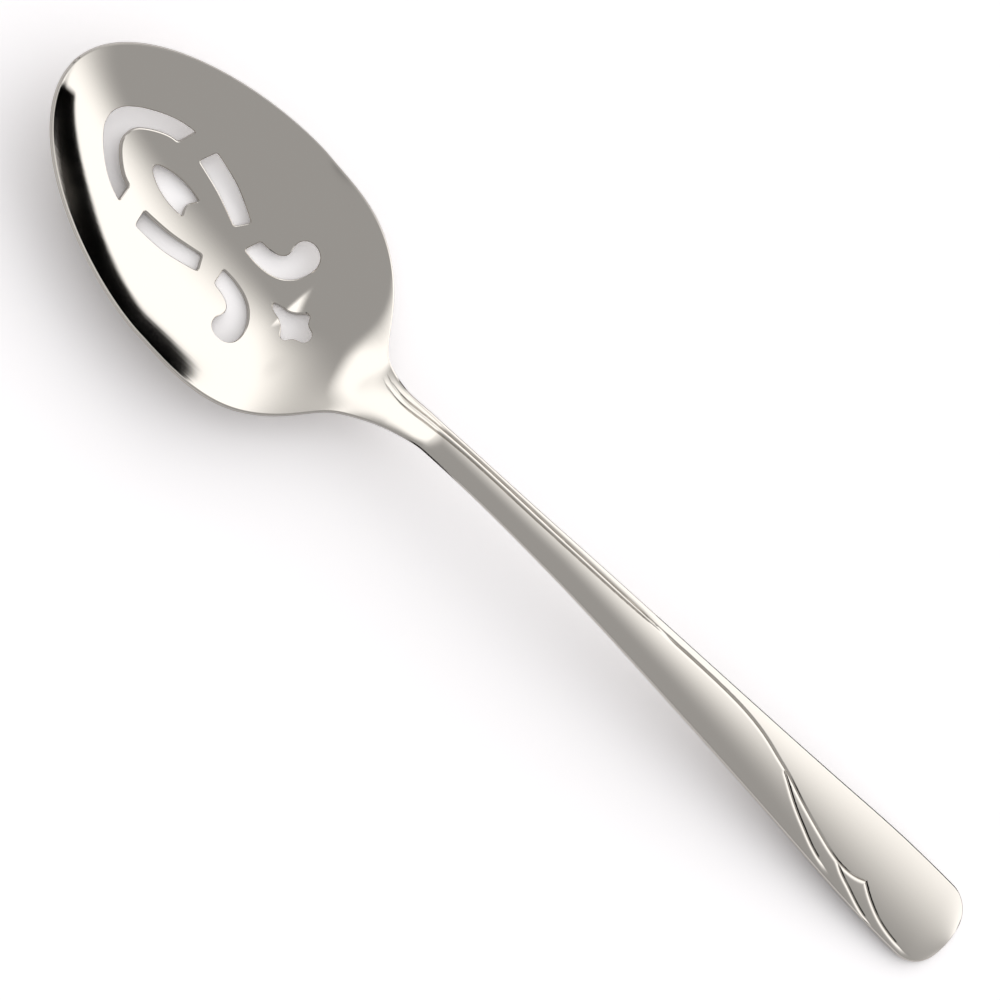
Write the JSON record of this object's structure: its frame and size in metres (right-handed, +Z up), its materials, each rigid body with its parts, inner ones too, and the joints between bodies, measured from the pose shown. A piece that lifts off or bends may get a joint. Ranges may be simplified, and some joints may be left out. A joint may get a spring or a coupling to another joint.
{
  "type": "slotted serving spoon",
  "caption": "Serving spoon with an oval bowl pierced by draining slots, a narrow neck and an arched handle that widens to a rounded end with a swept groove relief.",
  "frame": {"origin": "on the table that the spoon rests on, under the middle of its overall length and width", "axes": "+X from the bowl's tip towards the handle's end, +Z up out of the bowl's hollow, +Y across the spoon to the left of someone looking from the tip to the handle"},
  "size_m": [0.2162, 0.0452, 0.0144],
  "materials": {
    "polished_steel": "mirror polished stainless steel"
  },
  "bodies": {
    "root": {"spoon": "polished_steel"}
  },
  "joints": []
}
